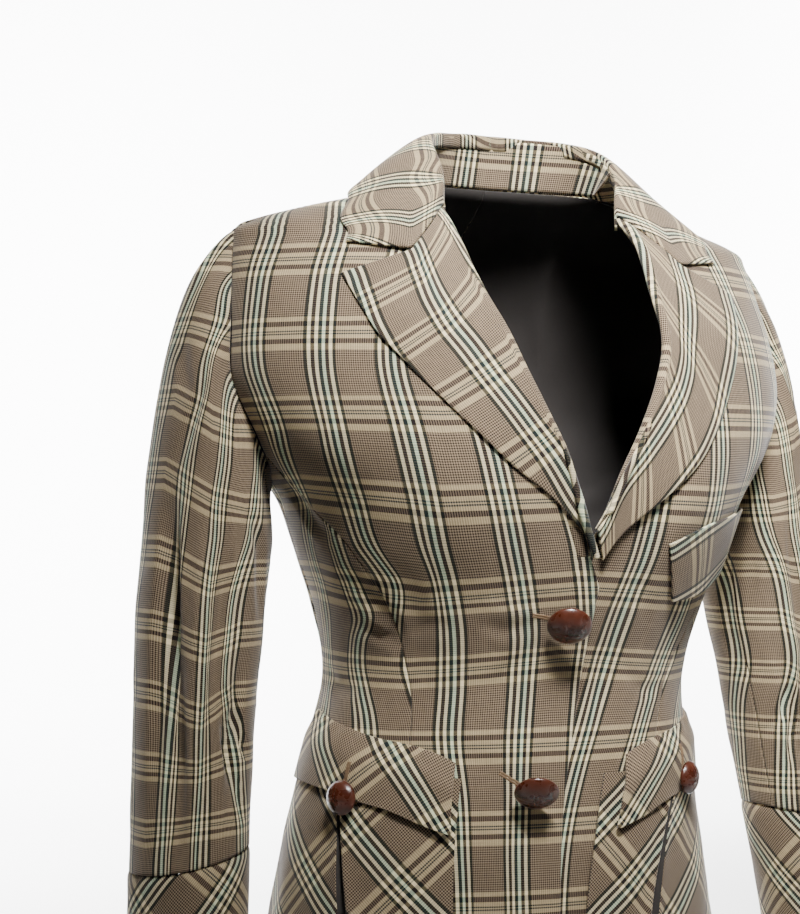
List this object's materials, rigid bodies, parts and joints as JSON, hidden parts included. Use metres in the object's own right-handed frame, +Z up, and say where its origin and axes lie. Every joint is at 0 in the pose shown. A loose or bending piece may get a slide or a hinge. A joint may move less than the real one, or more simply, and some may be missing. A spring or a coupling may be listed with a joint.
{
  "type": "blazer",
  "caption": "Fitted plaid blazer with notched lapels, leather buttons, flapped patch pockets and deep cuffs, shaped as worn and hollow.",
  "frame": {"origin": "middle of the neck opening, level with the neck ends of the shoulder seams, where the wearer's shoulders hold the garment", "axes": "+Z up, +X to the wearer's left, front towards -Y"},
  "size_m": [0.557, 0.2524, 0.6362],
  "materials": {
    "plaid_suiting": "matte brown and cream plaid weave",
    "brown_leather": "smooth satin"
  },
  "bodies": {
    "root": {"front_right": "plaid_suiting", "front_left": "plaid_suiting", "side_front_right": "plaid_suiting", "side_front_left": "plaid_suiting", "back_right": "plaid_suiting", "back_left": "plaid_suiting", "lapel_right": "plaid_suiting", "lapel_left": "plaid_suiting", "collar": "plaid_suiting", "collar_stand": "plaid_suiting", "sleeve_top_right": "plaid_suiting", "sleeve_top_left": "plaid_suiting", "sleeve_under_right": "plaid_suiting", "sleeve_under_left": "plaid_suiting", "cuff_right": "plaid_suiting", "cuff_left": "plaid_suiting", "pocket_right": "plaid_suiting", "pocket_left": "plaid_suiting", "flap_right": "plaid_suiting", "flap_left": "plaid_suiting", "breast_flap": "plaid_suiting", "button_front_top": "brown_leather", "button_front_low": "brown_leather", "button_pocket_right": "brown_leather", "button_pocket_left": "brown_leather"}
  },
  "joints": []
}
